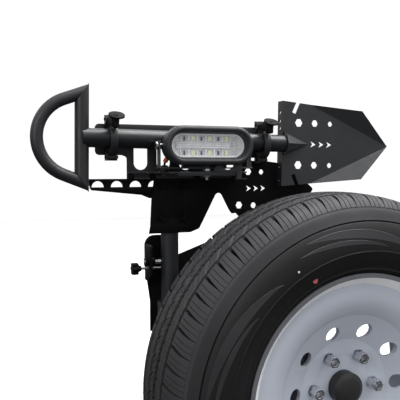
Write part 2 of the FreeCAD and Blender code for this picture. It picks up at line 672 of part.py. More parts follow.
def handle():
    """D-handle: a bent tube mitred onto a straight grip."""
    grip_x, arc_x, arc_r, bow_r = size("grip_x"), size("bow_arc_x"), size("bow_arc_r"), size("bow_r")
    slant = 69.1
    across, along = math.sin(math.radians(slant)), math.cos(math.radians(slant))
    touch = Vector(arc_x - arc_r * along, 0, arc_r * across)
    joint = touch + Vector(across, 0, along) * ((grip_x - touch.x) / across)
    corner = touch + Vector(across, 0, along) * ((grip_x + 30 - touch.x) / across)

    def flipped(point):
        return Vector(point.x, 0, -point.z)

    path = Part.Wire([Part.LineSegment(corner, touch).toShape(),
                      Part.Arc(touch, Vector(arc_x - arc_r, 0, 0), flipped(touch)).toShape(),
                      Part.LineSegment(flipped(touch), flipped(corner)).toShape()])
    outside, hollow = (path.makePipe(Part.Face(Part.Wire(Part.makeCircle(radius, corner, touch - corner))))
                       for radius in (bow_r, bow_r - 2))
    grip_side = Part.makeBox(80, 120, 130, Vector(0, -60, -46))
    grip_side.rotate(Vector(), Vector(0, 1, 0), slant / 2)
    grip_side.translate(joint)
    grip_sides = [grip_side, grip_side.mirror(Vector(), Vector(0, 0, 1))]
    bow = outside.cut(hollow).cut(grip_sides)
    bow = max(bow.Solids, key=lambda piece: piece.Volume)
    bar = Part.makeCylinder(size("grip_r"), 2 * joint.z + 60, Vector(grip_x, 0, -joint.z - 30))
    middle = Part.makeBox(80, 80, joint.z, Vector(grip_x - 40, -40, -joint.z / 2))
    keep = grip_sides[0].fuse([grip_sides[1], middle])
    publish("handle_bow", lean(solid_feature("handle_bow_tube", bow, local(0, 0, 0))))
    publish("handle_grip", lean(solid_feature("handle_grip_bar", bar.common(keep), local(0, 0, 0))))


def shaft():
    start, end = "Dims.grip_x", "Dims.blade_x"
    whole = tube("shaft_tube", "Dims.shaft_r", "Dims.shaft_wall", f"{end} - {start}", local(start, 0, 0), ALONG_X)
    grip_space = cylinder("shaft_cope", "Dims.grip_r", 60, local("Dims.grip_x", 0, -30))
    publish("shovel_shaft", lean(cut("shaft_coped", whole, [grip_space])))


def extruded_face(points, thickness):
    outline = Part.makePolygon([Vector(*p) for p in points] + [Vector(*points[0])])
    return Part.Face(outline).extrude(Vector(0, thickness, 0))


def blade():
    """Pointed blade with folded wings, a foot-step flange, and hexagon and arrow cut-outs."""
    base_x, thick, half = size("blade_x"), size("blade_t"), size("blade_half")
    fold_x, fold_z, wing_x, wing_z, wing_y, tip_x = 318, 88.5, 443, 78, -18, 527
    middle = extruded_face([(base_x, 0, half), (fold_x, 0, fold_z), (tip_x, 0, 0), (fold_x, 0, -fold_z),
                            (base_x, 0, -half)], thick)
    wings = [extruded_face([(fold_x, 0, sign * fold_z), (wing_x, wing_y, sign * wing_z), (tip_x, 0, 0)], thick)
             for sign in (1, -1)]
    step = Part.makeBox(thick, 22, 2 * half, Vector(base_x - thick, 0, -half))
    step = step.cut(Part.makeCylinder(size("shaft_r") + 0.2, 40, Vector(base_x - 20, 0, 0), Vector(1, 0, 0)))
    for z in (69, 50, 34, -50, -80):
        step = step.cut(Part.makeCylinder(3.5, 40, Vector(base_x - 20, 12, z), Vector(1, 0, 0)))
    shape = middle.fuse(wings).fuse(step)
    for sign in (1, -1):
        slot = Part.makeBox(9, 40, 60, Vector(-4.5, -20, 0))
        slot.rotate(Vector(), Vector(0, 1, 0), 24)
        if sign < 0:
            slot = slot.mirror(Vector(), Vector(0, 0, 1))
        slot.translate(Vector(base_x + 26, 0, sign * 68))
        shape = shape.cut(slot)
    blank = solid_feature("blade_blank", shape.removeSplitter(), local(0, 0, 0))
    hexagons = [(x, sign * 47, radius) for sign in (1, -1)
                for x, radius in ((288, 9.7), (329, 8.3), (369, 6.2))]
    arrows = [(x, 0) for x in (325.5, 346, 366.5)]
    tools = (hexagon_tools("blade", hexagons, 0, local)
             + arrow_tools("blade", arrows, 14.5, 7.5, 0, local))
    publish("shovel_blade", lean(cut("blade_cut", blank, tools)))


def blade_socket():
    """Pyramid-shaped socket that joins the shaft to the blade's face."""
    base_x, apex = size("blade_x") + 0.5, Vector(312, 0, 0)
    ring = [Vector(base_x, 0, 27), Vector(base_x, -17, 19), Vector(base_x, -25, 0),
            Vector(base_x, -17, -19), Vector(base_x, 0, -27)]
    faces = [Part.Face(Part.makePolygon(ring + [ring[0]]))]
    for number, start in enumerate(ring):
        end = ring[(number + 1) % len(ring)]
        faces.append(Part.Face(Part.makePolygon([start, end, apex, start])))
    socket = Part.Solid(Part.Shell(faces))
    if socket.Volume < 0:
        socket.reverse()
    publish("blade_socket", lean(solid_feature("blade_socket_pyramid", socket, local(0, 0, 0))))


# ---------------------------------------------------------------- light and its lead

def stadium(name, width, tall, depth, front_y):
    """Oval block about the light's centre, growing towards +Y from front_y."""
    half_run = f"({width} - {tall}) / 2"
    left, right = f"Dims.light_x - {half_run}", f"Dims.light_x + {half_run}"
    core = box(f"{name}_core", (f"{width} - {tall}", depth, tall),
               rack(left, front_y, f"Dims.light_z - {tall} / 2"))
    ends = [cylinder(f"{name}_end_{number}", f"{tall} / 2", depth, rack(x, front_y, "Dims.light_z"), ALONG_Y)
            for number, x in enumerate((left, right))]
    return fuse(name, [core] + ends)


def light():
    bezel = stadium("bezel_outer", "Dims.light_w", "Dims.light_tall", 24, -73)
    opening = stadium("bezel_opening", "Dims.lens_w", "Dims.lens_tall", 24, -73)
    publish("light_bezel", cut("bezel", bezel, [opening]))
    shell = stadium("housing_outer", "(Dims.light_w - 8)", "(Dims.light_tall - 8)", 25, -49)
    pivot_y = -37
    pivot_hole = [cylinder(f"housing_pivot_hole_{number}", 4, 11.5,
                           rack(f"Dims.light_x + {x}", pivot_y, "Dims.light_z"), ALONG_X)
                  for number, x in enumerate((-100.5, 89))]
    publish("light_housing", cut("housing_bored", shell, pivot_hole))
    publish("light_reflector", stadium("reflector", "(Dims.lens_w - 0.4)", "(Dims.lens_tall - 0.4)", 5, -54))
    publish("light_lens", stadium("lens", "(Dims.lens_w - 0.4)", "(Dims.lens_tall - 0.4)", 3, -59))
    base = box("light_bracket_base", (200, 33, 3), rack("Dims.light_x - 100", pivot_y - 15, -59.9))
    apron = box("light_bracket_apron", (100, 3, 18), rack("Dims.light_x - 46", pivot_y + 15, -59.9))
    arms = [box(f"light_bracket_arm_{number}", (3, 16, 56), rack(f"Dims.light_x + {x}", pivot_y - 8, -59.9))
            for number, x in enumerate((-100, 97))]
    holes = [cylinder("light_bracket_bolt_hole", 4.3, 20, rack("Dims.light_x", -45, -65)),
             cylinder("light_bracket_pivot_hole", 4.05, 240, rack("Dims.light_x - 120", pivot_y, "Dims.light_z"),
                      ALONG_X)]
    publish("light_bracket", cut("light_bracket_bent", fuse("light_bracket_blank", [base, apron] + arms), holes))
    pins = []
    for number, (pin_x, head_x) in enumerate(((-100.5, -105), (89, 100.5))):
        start = rack(f"Dims.light_x + {pin_x}", pivot_y, "Dims.light_z")
        rod = cylinder(f"light_pivot_rod_{number}", 4, 11.5, start, ALONG_X)
        head = prism(f"light_pivot_head_{number}", 6, 7.5, 4.5,
                     rack(f"Dims.light_x + {head_x}", pivot_y, "Dims.light_z"), ALONG_X)
        pins.append(fuse(f"light_pivot_bolt_{number}", [rod, head]))
    publish("light_pivot_bolts", gather("light_pivot_bolt_pair", pins))
    face = [(60, -65.9), (66, -53.2), (122, -53.2), (122, -79.6), (111, -79.6), (111, -65.9)]
    support = sheet_body("light_support_face", "XZ", face, 2.5, rack(0, -57.6, 0), rounds=[(3, [1])])
    foot = box("light_support_foot", (24, 10, 2.5), rack(110, -57.6, -82.1))
    notch = cylinder("light_support_notch", 13, 20, rack(92, -70, -50), ALONG_Y)
    publish("light_support", cut("light_support_cut", fuse("light_support_blank", [support, foot]), [notch]))
    bolt = cylinder("light_bolt_rod", "Dims.bolt_r", 29, rack("Dims.light_x", -45, -83))
    publish("light_bolt", bolt)
    heads = [hexagon_nut(f"light_nut_{number}", 14, 4.05, tall, rack("Dims.light_x", -45, z), ALONG_Z)
             for number, (z, tall) in enumerate(((-65.9, 6), (-76, 6.9)))]
    publish("light_nuts", gather("light_nut_pair", heads))


def rounded_route(points):
    """Straight runs joined by tangent arcs, each as large as its two runs allow."""
    points = [Vector(*point) for point in points]
    edges, last = [], points[0]
    for before, corner, after in zip(points, points[1:], points[2:]):
        back, ahead = before - corner, after - corner
        turn = math.pi - back.getAngle(ahead)
        trim = 0.45 * min(back.Length, ahead.Length)
        print(f"lead bend radius {trim / math.tan(turn / 2):.1f} mm")
        back.normalize()
        ahead.normalize()
        start, end = corner + back * trim, corner + ahead * trim
        bisector = back + ahead
        bisector.normalize()
        radius = trim / math.tan(turn / 2)
        centre = corner + bisector * (radius / math.cos(turn / 2))
        middle = centre - bisector * radius
        edges += [Part.LineSegment(last, start).toShape(), Part.Arc(start, middle, end).toShape()]
        last = end
    edges.append(Part.LineSegment(last, points[-1]).toShape())
    return Part.Wire(edges)


def light_lead():
    """Short lead from the back of the light to a gland in the shelf, with its orange sleeve."""
    lead_r = 2.4
    route = [(-12, -23.9, -31), (-12, -9, -31), (-16.5, 0.5, -34), (-22.5, 2, -43), (-25, 2, -50), (-25, 2, -57)]
    wire = rounded_route(route)
    section = Part.Face(Part.Wire(Part.makeCircle(lead_r, Vector(*route[0]), Vector(0, 1, 0))))
    lead = wire.makePipe(section)
    print(f"lead volume ratio {lead.Volume / (math.pi * lead_r ** 2 * wire.Length):.4f},"
          f" length {wire.Length:.1f} mm")
    publish("light_lead", solid_feature("light_lead_tube", lead, rack(0, 0, 0)))
    covered = Part.Wire(wire.Edges[3:6])
    first = covered.Edges[0]
    start, along = first.valueAt(first.FirstParameter), first.tangentAt(first.FirstParameter)
    outer, inner = [covered.makePipe(Part.Face(Part.Wire(Part.makeCircle(r, start, along))))
                    for r in (lead_r + 2.6, lead_r + 0.05)]
    publish("lead_sleeve", solid_feature("lead_sleeve_tube", outer.cut(inner), rack(0, 0, 0)))
    gland = [cylinder("gland_stem", 7, 24, rack(-25, 2, -76)),
             cylinder("gland_body", 9.2, 13.9, rack(-25, 2, -65.9)),
             cylinder("gland_nut", 9.5, 5, rack(-25, 2, -74.1))]
    entry = cylinder("gland_entry", lead_r + 0.05, 6, rack(-25, 2, -57.05))
    publish("lead_gland", cut("gland_bored", fuse("gland", gland), [entry]))


# ---------------------------------------------------------------- build

def check_and_write():
    doc.recompute()
    for item in doc.Objects:
        if "Invalid" in item.State or "Error" in item.State:
            raise RuntimeError(f"{item.Name} failed: {item.State}")
    os.makedirs("parts", exist_ok=True)
    for item in sub_parts:
        if item.Shape.isNull() or not item.Shape.isValid() or not item.Shape.Solids:
            raise RuntimeError(f"{item.Label} has no valid solid")
        item.Shape.exportStep(os.path.join("parts", f"{item.Label}.step"))
    print(f"{len(sub_parts)} sub-parts written")


hitch_shank()
upright()
shank_gussets()
cross_arm()
arm_plate()
post_sleeve()
set_screw()
star_knob()
wheel_mount()
tyre()
rim()
wheel_hardware()
valve()
post()
lower_plate()
back_plate()
shelf()
side_arm()
rack_fasteners()
clamps()
handle()
shaft()
blade()
blade_socket()
light()
light_lead()
check_and_write()
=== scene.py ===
"""Hitch-mounted spare tire carrier with tool rack, shovel and work light: the visual model.

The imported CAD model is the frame. Pieces below either finish a CAD node with a material or stand
for it with a more detailed mesh in the same place. Lengths in the detail code are millimetres in
the row frame and are scaled to metres when a mesh is made.
"""
import math

import bpy
import numpy as np
from mathutils import Matrix, Vector


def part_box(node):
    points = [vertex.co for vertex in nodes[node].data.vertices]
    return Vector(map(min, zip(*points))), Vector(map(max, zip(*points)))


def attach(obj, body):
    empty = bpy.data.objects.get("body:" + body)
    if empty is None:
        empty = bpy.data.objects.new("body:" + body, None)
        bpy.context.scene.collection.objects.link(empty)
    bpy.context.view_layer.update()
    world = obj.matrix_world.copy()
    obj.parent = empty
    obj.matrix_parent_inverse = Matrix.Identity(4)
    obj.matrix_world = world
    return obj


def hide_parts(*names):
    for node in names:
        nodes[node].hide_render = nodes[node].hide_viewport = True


MM = 0.001
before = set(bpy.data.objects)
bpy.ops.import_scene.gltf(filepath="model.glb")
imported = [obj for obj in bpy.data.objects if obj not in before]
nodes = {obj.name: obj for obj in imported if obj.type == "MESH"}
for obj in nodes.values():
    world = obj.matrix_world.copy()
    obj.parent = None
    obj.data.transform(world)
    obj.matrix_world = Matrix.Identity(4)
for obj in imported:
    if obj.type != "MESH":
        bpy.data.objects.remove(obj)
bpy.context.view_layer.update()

# ------------------------------------------------------------------ places taken from the frame


def box_mm(node):
    low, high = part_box(node)
    return low / MM, high / MM


def middle_mm(node):
    low, high = box_mm(node)
    return (low + high) / 2


WHEEL = middle_mm("tyre")
LENS = middle_mm("light_lens")
LENS_LOW, LENS_HIGH = box_mm("light_lens")
BEZEL_LOW, BEZEL_HIGH = box_mm("light_bezel")


# ------------------------------------------------------------------ materials

class Finish:
    """A procedural material: a mottled colour, a roughness that varies, and a fine bump."""

    def __init__(self, name, colour, roughness, metallic=0.0, specular=0.5, coat=0.0,
                 mottle=(9.0, 0.25), rough_range=0.08, grain=(900.0, 0.15, 0.0004), stretch=(1, 1, 1)):
        self.material = bpy.data.materials.new(name)
        self.material.use_nodes = True
        self.tree = self.material.node_tree
        self.shader = self.tree.nodes["Principled BSDF"]
        self.shader.inputs["Metallic"].default_value = metallic
        self.shader.inputs["Specular IOR Level"].default_value = specular
        self.shader.inputs["Coat Weight"].default_value = coat
        self.shader.inputs["Coat Roughness"].default_value = 0.12
        place = self.node("ShaderNodeTexCoord")
        mapping = self.node("ShaderNodeMapping")
        mapping.inputs["Scale"].default_value = stretch
        self.link(place.outputs["Object"], mapping.inputs["Vector"])
        self.coordinates = mapping.outputs["Vector"]
        clouds = self.noise(mottle[0], 5.0)
        dark = [c * (1 - mottle[1]) for c in colour]
        light = [min(1.0, c * (1 + mottle[1])) for c in colour]
        self.colour = self.ramp(clouds, (0.3, (*dark, 1)), (0.7, (*light, 1)))
        self.link(self.colour, self.shader.inputs["Base Color"])
        streaks = self.noise(mottle[0] * 4.3, 3.0)
        varied = self.spread(streaks, roughness - rough_range, roughness + rough_range)
        self.link(varied, self.shader.inputs["Roughness"])
        fine = self.noise(grain[0], 2.0)
        bump = self.node("ShaderNodeBump")
        bump.inputs["Strength"].default_value = grain[1]
        bump.inputs["Distance"].default_value = grain[2]
        self.link(fine, bump.inputs["Height"])
        self.link(bump.outputs["Normal"], self.shader.inputs["Normal"])

    def node(self, kind):
        return self.tree.nodes.new(kind)

    def link(self, out, into):
        self.tree.links.new(out, into)

    def noise(self, scale, detail):
        made = self.node("ShaderNodeTexNoise")
        made.inputs["Scale"].default_value = scale
        made.inputs["Detail"].default_value = detail
        self.link(self.coordinates, made.inputs["Vector"])
        return made.outputs["Fac"]

    def ramp(self, value, *stops):
        made = self.node("ShaderNodeValToRGB")
        for element, (position, colour) in zip(made.color_ramp.elements, stops):
            element.position, element.color = position, colour
        self.link(value, made.inputs["Fac"])
        return made.outputs["Color"]

    def spread(self, value, low, high):
        made = self.node("ShaderNodeMapRange")
        made.inputs["From Min"].default_value = 0.3
        made.inputs["From Max"].default_value = 0.7
        made.inputs["To Min"].default_value = low
        made.inputs["To Max"].default_value = high
        self.link(value, made.inputs["Value"])
        return made.outputs["Result"]


POWDER = Finish("powder_coat", (0.020, 0.021, 0.024), 0.42, specular=0.45, grain=(1500, 0.35, 0.0003))
# painted shade: a copy of the powder coat made far darker and duller than the plain coat, for the plates and
# small parts that sit in shade; partly the plates' own black, partly shade painted into the colour
POWDER_SHADED = Finish("powder_coat_painted_shade", (0.0035, 0.0035, 0.0038), 0.55, specular=0.12, grain=(1500, 0.3, 0.0003))
CHARCOAL = Finish("charcoal_coat", (0.028, 0.029, 0.033), 0.38, metallic=0.15, specular=0.5,
                  mottle=(5.0, 0.12), grain=(2200, 0.2, 0.0002))
GLOSS = Finish("gloss_black_tube", (0.012, 0.0135, 0.016), 0.36, specular=0.42, coat=0.1,
               mottle=(6.0, 0.2), rough_range=0.05, grain=(500, 0.06, 0.0003))
SOCKET = Finish("socket_coat", (0.022, 0.023, 0.026), 0.3, specular=1.0, mottle=(6.0, 0.15),
                grain=(1200, 0.1, 0.0002))
BOW = Finish("handle_coat", (0.018, 0.0185, 0.021), 0.40, specular=0.5, grain=(1400, 0.3, 0.0003))
ZINC = Finish("zinc_plated", (0.62, 0.63, 0.66), 0.28, metallic=1.0, mottle=(40.0, 0.18),
              grain=(700, 0.15, 0.0002), stretch=(1, 1, 3))
PLASTIC = Finish("black_plastic", (0.020, 0.020, 0.021), 0.48, specular=0.4, mottle=(20.0, 0.15),
                 grain=(1100, 0.25, 0.0002))
LEVER = Finish("lever_plastic", (0.005, 0.0052, 0.0056), 0.6, specular=0.1, mottle=(25.0, 0.12),
               grain=(1600, 0.3, 0.0002))
RUBBER = Finish("black_rubber", (0.022, 0.022, 0.024), 0.62, specular=0.35, mottle=(22.0, 0.2),
                grain=(800, 0.3, 0.0003))
BEZEL_RUBBER = Finish("bezel_rubber", (0.020, 0.021, 0.024), 0.5, specular=0.42, mottle=(16.0, 0.15),
                      grain=(900, 0.25, 0.0003))
TYRE = Finish("tyre_rubber", (0.036, 0.036, 0.039), 0.66, specular=0.35, mottle=(6.0, 0.22),
              grain=(520, 0.4, 0.0006))
# its colour is scaled below by the distance from the axle: painted shade near the bead, painted light
# towards the tread
SIDEWALL = Finish("tyre_sidewall_painted_shading", (0.012, 0.012, 0.0132), 0.58, specular=0.32, mottle=(5.0, 0.2),
                  grain=(420, 0.25, 0.0005))
WHEEL_FACE = Finish("wheel_silver", (0.46, 0.495, 0.57), 0.42, specular=0.5,
                    mottle=(4.0, 0.06), grain=(1300, 0.12, 0.0002))
# the lip's band: its own brighter finish raised to near white as painted highlight
WHEEL_LIP_HIGHLIGHT = Finish("wheel_lip_painted_highlight", (0.97, 0.98, 1.0), 0.34, specular=0.6,
                   mottle=(6.0, 0.05), grain=(1300, 0.08, 0.0002))
# painted shade: the flange's edge beside the tyre's bead, darker than the wheel's silver
WHEEL_EDGE_SHADE = Finish("wheel_edge_painted_shade", (0.17, 0.175, 0.19), 0.35, metallic=0.4, mottle=(5.0, 0.1),
                    grain=(1300, 0.1, 0.0002))
# painted shade: near black for the tread's grooves, its deep cuts and the sidewall's line
GROOVE_PAINTED_SHADE = Finish("groove_painted_shade", (0.0045, 0.0045, 0.005), 0.75, specular=0.08, mottle=(6.0, 0.2),
                      grain=(520, 0.3, 0.0005))
RUBBER_RELIEF = Finish("relief_rubber", (0.024, 0.024, 0.0265), 0.5, specular=0.4, mottle=(6.0, 0.2),
                       grain=(520, 0.2, 0.0004))
LAMP_WHITE = Finish("lamp_white", (0.94, 0.95, 0.98), 0.3, specular=0.6, mottle=(60.0, 0.06),
                    grain=(500, 0.2, 0.0003))
LAMP_SILVER = Finish("lamp_silver", (0.76, 0.77, 0.81), 0.22, metallic=0.2, mottle=(80.0, 0.1),
                     grain=(500, 0.15, 0.0003))
LAMP_AMBER = Finish("lamp_amber", (0.80, 0.87, 0.55), 0.35, specular=0.5, mottle=(300.0, 0.2))
LAMP_DARK = Finish("lamp_dark", (0.025, 0.025, 0.032), 0.35, specular=0.3, mottle=(300.0, 0.3))
LAMP_GREY = Finish("lamp_grey", (0.42, 0.42, 0.45), 0.35, specular=0.5, mottle=(300.0, 0.25))
ORANGE = Finish("orange_sleeve", (0.85, 0.16, 0.035), 0.45, specular=0.4, mottle=(90.0, 0.15),
                grain=(900, 0.2, 0.0002))
MARK_RED = Finish("mark_red", (0.42, 0.10, 0.09), 0.6, mottle=(200.0, 0.2))
MARK_WHITE = Finish("mark_white", (0.62, 0.60, 0.58), 0.6, mottle=(200.0, 0.15))
CLEAR = Finish("clear_lens", (0.9, 0.92, 0.95), 0.08, specular=0.6, rough_range=0.02,
               grain=(300, 0.03, 0.0002))
CLEAR.shader.inputs["Alpha"].default_value = 0.07


def paint_sidewall_shading(finish, centre):
    """Painted shading: darker near the bead and lighter towards the tread, by the distance from the wheel's
    axle.
    """
    tree = finish.tree
    place = finish.node("ShaderNodeTexCoord")
    shift = finish.node("ShaderNodeVectorMath")
    shift.operation = "SUBTRACT"
    shift.inputs[1].default_value = (centre[0] * MM, 0, centre[2] * MM)
    flat = finish.node("ShaderNodeVectorMath")
    flat.operation = "MULTIPLY"
    flat.inputs[1].default_value = (1, 0, 1)
    length = finish.node("ShaderNodeVectorMath")
    length.operation = "LENGTH"
    # the colour scale from the radius: painted shade at the low end, painted light at the high end
    shading_by_radius = finish.node("ShaderNodeMapRange")
    tree.links.new(place.outputs["Object"], shift.inputs[0])
    tree.links.new(shift.outputs[0], flat.inputs[0])
    tree.links.new(flat.outputs[0], length.inputs[0])
    tree.links.new(length.outputs["Value"], shading_by_radius.inputs["Value"])
    shading_by_radius.inputs["From Min"].default_value = 0.325
    shading_by_radius.inputs["From Max"].default_value = 0.352
    shading_by_radius.inputs["To Min"].default_value = 0.6
    shading_by_radius.inputs["To Max"].default_value = 1.9
    mix = finish.node("ShaderNodeMix")
    mix.data_type = "RGBA"
    mix.blend_type = "MULTIPLY"
    mix.inputs["Factor"].default_value = 1.0
    tree.links.new(finish.colour, mix.inputs["A"])
    tree.links.new(shading_by_radius.outputs["Result"], mix.inputs["B"])
    tree.links.new(mix.outputs["Result"], finish.shader.inputs["Base Color"])


# paints the sidewall's shading
paint_sidewall_shading(SIDEWALL, WHEEL)


# ------------------------------------------------------------------ mesh helpers

def make_object(name, points_mm, faces, finishes, face_finish=None, smooth_angle=35.0):
    """A mesh object from points in millimetres, shaded smooth except at sharp edges."""
    mesh = bpy.data.meshes.new(name)
    mesh.from_pydata([tuple(c * MM for c in p) for p in points_mm], [], faces)
    finishes = finishes if isinstance(finishes, (list, tuple)) else [finishes]
    for finish in finishes:
        mesh.materials.append(finish.material)
    if face_finish is not None:
        mesh.polygons.foreach_set("material_index", face_finish)
    mesh.validate()
    mesh.polygons.foreach_set("use_smooth", [True] * len(mesh.polygons))
    mesh.set_sharp_from_angle(angle=math.radians(smooth_angle))
    made = bpy.data.objects.new(name, mesh)
    bpy.context.scene.collection.objects.link(made)
    return made


def stands_for(piece, body, slot_name, *cad_nodes):
    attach(piece, body)
    if cad_nodes:
        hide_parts(*cad_nodes)
    return piece


def grid_faces(rows, columns, close_rows=False):
    """Faces of a grid of points whose columns run right round."""
    faces = []
    for row in range(rows if close_rows else rows - 1):
        below = (row + 1) % rows
        for column in range(columns):
            beside = (column + 1) % columns
            faces.append((row * columns + column, below * columns + column,
                          below * columns + beside, row * columns + beside))
    return faces


def axis_frame(axis):
    """Two directions square to an axis letter, and the axis itself."""
    return {"X": (Vector((0, 1, 0)), Vector((0, 0, 1)), Vector((1, 0, 0))),
            "Y": (Vector((1, 0, 0)), Vector((0, 0, 1)), Vector((0, -1, 0))),
            "Z": (Vector((1, 0, 0)), Vector((0, 1, 0)), Vector((0, 0, 1)))}[axis]


def lathe(name, profile, origin, axis, finish, steps=48, shape=None, smooth_angle=35.0):
    """Turns a (radius, distance along the axis) profile; shape(angle, row) can scale each radius."""
    first, second, along = axis_frame(axis)
    points = []
    for row, (radius, distance) in enumerate(profile):
        for step in range(steps):
            angle = 2 * math.pi * step / steps
            r = radius * (shape(angle, row) if shape else 1)
            points.append(Vector(origin) + along * distance
                          + first * (r * math.cos(angle)) + second * (r * math.sin(angle)))
    faces = grid_faces(len(profile), steps)
    faces.append(tuple(range(steps))[::-1])
    faces.append(tuple((len(profile) - 1) * steps + step for step in range(steps)))
    return make_object(name, points, faces, finish, smooth_angle=smooth_angle)


def stadium_loop(half_run, radius, y, centre, steps=20):
    """Points around an oval of two half circles, counted from its right end's top."""
    loop = []
    for side in (1, -1):
        for step in range(steps + 1):
            angle = math.pi / 2 - math.pi * step / steps
            loop.append(Vector((centre[0] + side * (half_run + radius * math.cos(angle)), y,
                                centre[2] + side * radius * math.sin(angle))))
    return loop


def stadium_sweep(name, half_run, outer_radius, profile, centre, finish, closed=True, steps=20):
    """Carries an (inset, y) profile round an oval."""
    loops = [stadium_loop(half_run, outer_radius - inset, y, centre, steps) for inset, y in profile]
    columns = len(loops[0])
    points = [p for loop in loops for p in loop]
    faces = grid_faces(len(loops), columns, close_rows=closed)
    if not closed:
        last = (len(loops) - 1) * columns
        faces += [tuple(range(columns)), tuple(last + c for c in range(columns))[::-1]]
    return make_object(name, points, faces, finish)


BLOCK_FACES = ((0, 1, 2, 3), (7, 6, 5, 4), (0, 4, 5, 1), (1, 5, 6, 2), (2, 6, 7, 3), (3, 7, 4, 0))


def join_boxes(name, boxes, finish, bevel=0.3):
    """Many small blocks in one mesh, each (low corner, high corner, top inset), with eased edges."""
    points, faces = [], []
    for low, high, inset in boxes:
        base = len(points)
        for y, grow in ((high[1], 0.0), (low[1], inset)):
            points += [(low[0] + grow, y, low[2] + grow), (high[0] - grow, y, low[2] + grow),
                       (high[0] - grow, y, high[2] - grow), (low[0] + grow, y, high[2] - grow)]
        faces += [tuple(base + i for i in face) for face in BLOCK_FACES]
    made = make_object(name, points, faces, finish, smooth_angle=30.0)
    if bevel:
        add_bevel(made, bevel)
    return made


def add_bevel(item, width_mm):
    """Eases edges sharper than 38 degrees."""
    weld = item.modifiers.new("weld", "WELD")
    weld.merge_threshold = 1e-5
    bevel = item.modifiers.new("bevel", "BEVEL")
    bevel.width = width_mm * MM
    bevel.segments = 2
    bevel.limit_method = "ANGLE"
    bevel.angle_limit = math.radians(38.0)
    bevel.harden_normals = False


# ------------------------------------------------------------------ camera, floor and light

def make_camera():
    """A view level with the lamp, 21 degrees round to the left."""
    data = bpy.data.cameras.new("camera")
    data.sensor_width = 36.0
    data.lens = 54.0
    data.clip_start, data.clip_end = 0.05, 60.0
    camera = bpy.data.objects.new("camera", data)
    camera.location = (-0.7047, -1.4301, 0.7768)
    forward = Vector((0.3531, 0.9342, -0.0509))
    camera.rotation_mode = "QUATERNION"
    roll = Matrix.Rotation(math.radians(-0.1), 4, "Z").to_quaternion()
    camera.rotation_quaternion = forward.to_track_quat("-Z", "Y") @ roll
    bpy.context.scene.collection.objects.link(camera)
    bpy.context.scene.camera = camera


def make_floor():
    tyre_low = box_mm("tyre")[0][2]
    half, z = 9000.0, tyre_low - 0.6
    pale = Finish("studio_floor", (0.93, 0.93, 0.93), 0.9, specular=0.1, mottle=(1.5, 0.01),
                  grain=(60, 0.02, 0.0005))
    corners = [(-half, -half, z), (half, -half, z), (half, half, z), (-half, half, z)]
    floor = make_object("studio_floor", corners, [(0, 1, 2, 3)], pale)
    floor.visible_glossy = False
    floor.visible_diffuse = False


def soft_light(name, position, target, width, height, power, seen_in_gloss=True):
    data = bpy.data.lights.new(name, "AREA")
    data.shape, data.size, data.size_y = "RECTANGLE", width, height
    data.energy = power
    made = bpy.data.objects.new(name, data)
    made.location = position
    made.rotation_mode = "QUATERNION"
    made.rotation_quaternion = (Vector(target) - Vector(position)).to_track_quat("-Z", "Y")
    made.visible_glossy = seen_in_gloss
    bpy.context.scene.collection.objects.link(made)


def make_world():
    """White behind the object; what lights it is bright above and dim below."""
    world = bpy.data.worlds.new("studio")
    bpy.context.scene.world = world
    world.use_nodes = True
    tree = world.node_tree
    tree.nodes.clear()
    place = tree.nodes.new("ShaderNodeTexCoord")
    split = tree.nodes.new("ShaderNodeSeparateXYZ")
    height = tree.nodes.new("ShaderNodeMapRange")
    height.inputs["From Min"].default_value = -0.25
    height.inputs["From Max"].default_value = 0.75
    height.inputs["To Min"].default_value = 0.05
    height.inputs["To Max"].default_value = 1.1
    path = tree.nodes.new("ShaderNodeLightPath")
    mix = tree.nodes.new("ShaderNodeMix")
    back = tree.nodes.new("ShaderNodeBackground")
    back.inputs["Color"].default_value = (1, 1, 1, 1)
    out = tree.nodes.new("ShaderNodeOutputWorld")
    tree.links.new(place.outputs["Generated"], split.inputs[0])
    tree.links.new(split.outputs["Z"], height.inputs["Value"])
    tree.links.new(path.outputs["Is Camera Ray"], mix.inputs["Factor"])
    tree.links.new(height.outputs["Result"], mix.inputs["A"])
    mix.inputs["B"].default_value = 1.05
    tree.links.new(mix.outputs["Result"], back.inputs["Strength"])
    tree.links.new(back.outputs[0], out.inputs[0])


make_camera()
make_floor()
make_world()
soft_light("key_above", (0.75, -0.5, 2.9), (0.1, -0.25, 0.7), 2.0, 2.2, 116)
soft_light("fill_left", (-2.6, -2.2, 1.5), (-0.2, -0.3, 0.6), 1.6, 1.6, 16)
soft_light("low_front", (0.5, -2.1, 0.05), (0.1, -0.45, 0.6), 1.6, 0.6, 10, seen_in_gloss=False)
soft_light("floor_wash", (0.5, 3.5, 2.5), (0.5, 4.0, -0.1), 6.0, 4.0, 120)
bpy.context.scene.view_settings.view_transform = "Standard"
bpy.context.scene.view_settings.look = "None"


# ------------------------------------------------------------------ tyre

# the tread repeats this many times round; places within one pitch run from 0 to 1
PITCHES = 72
WIDE_CUT = (0.015, 0.185)
WIDE_MIDDLE = 0.08
RIB_CUT_SCALE = 0.4
SIPES = ((0.382, 0.410), (0.667, 0.695))
RIB_TICK = (0.79, 0.86)
GROOVE_END = 0.2
# cuts deeper than these, in the wide groove and elsewhere, are drawn in painted shade
SHALLOW, SHADE_DEPTH = 1.2, 3.3
TREAD_ZONES = {"rib", "rib_edge", "groove", "block", "block_edge", "block_end", "fade"}
COLUMNS = (0.0, *WIDE_CUT, GROOVE_END, 0.24, 0.3, 0.374, 0.382, 0.410, 0.418, 0.5, 0.58,
           0.659, 0.667, 0.695, 0.703, 0.79, 0.86, 0.94)
